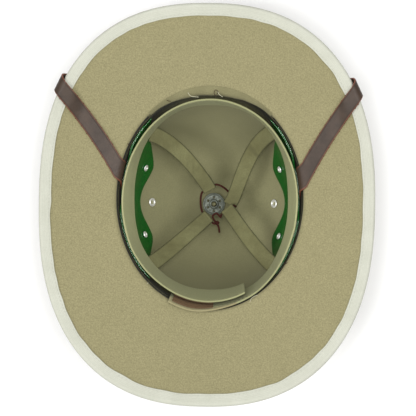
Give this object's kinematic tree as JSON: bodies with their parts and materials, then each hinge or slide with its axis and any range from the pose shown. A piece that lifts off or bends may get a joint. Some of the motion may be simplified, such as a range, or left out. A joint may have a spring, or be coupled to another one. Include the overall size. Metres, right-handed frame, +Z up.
{
  "type": "pith helmet",
  "caption": "Cloth-covered pith helmet lying on its crown, with bound oval brim, sweatband, cloth head net drawn by a cord, ventilator and leather chin strap.",
  "frame": {"origin": "middle of the flat face of the ventilator cap, on which the helmet rests with its hollow up", "axes": "+Z up, out of the hollow; +Y towards the wearer's front; +X to the side shown on the right when one looks into the hollow"},
  "size_m": [0.3212, 0.3809, 0.1678],
  "materials": {
    "brim_cloth": "khaki plain-weave cotton, matt",
    "lining_cloth": "khaki cotton lining with fine seams, matt",
    "binding_tape": "off-white woven tape, stitched, matt",
    "band_cloth": "khaki cotton in three pleats, matt",
    "cap_paint": "khaki paint, satin",
    "brass": "dull brass",
    "vent_metal": "grey pressed metal, slightly dull",
    "eyelet_metal": "bright pressed metal",
    "sweatband_cloth": "khaki cotton, folded edges, matt",
    "patch_tape": "red-brown hook and loop tape",
    "green_vinyl": "dark green vinyl sheet, glossy",
    "rivet_metal": "bright metal, dome head",
    "strap_cloth": "khaki cotton webbing, matt",
    "cord": "dark red-brown twisted cord",
    "strap_leather": "dark brown leather, satin, reddish edges"
  },
  "bodies": {
    "root": {"shell": "brim_cloth", "crown_lining": "lining_cloth", "brim_binding": "binding_tape", "hat_band": "band_cloth", "vent_cap": "cap_paint", "vent_stem": "brass", "vent_plate": "vent_metal", "eyelet_left": "eyelet_metal", "eyelet_right": "eyelet_metal", "sweatband": "sweatband_cloth", "loop_patch": "patch_tape", "hook_patch": "patch_tape", "backing_left": "green_vinyl", "backing_right": "green_vinyl", "backing_rivet_left_front": "rivet_metal", "backing_rivet_left_back": "rivet_metal", "backing_rivet_right_front": "rivet_metal", "backing_rivet_right_back": "rivet_metal", "suspension_strap_left_front": "strap_cloth", "suspension_strap_right_front": "strap_cloth", "suspension_strap_right_back": "strap_cloth", "suspension_strap_left_back": "strap_cloth", "drawstring": "cord", "chin_strap": "strap_leather", "chin_rivet_left": "rivet_metal", "chin_rivet_right": "rivet_metal"}
  },
  "joints": []
}
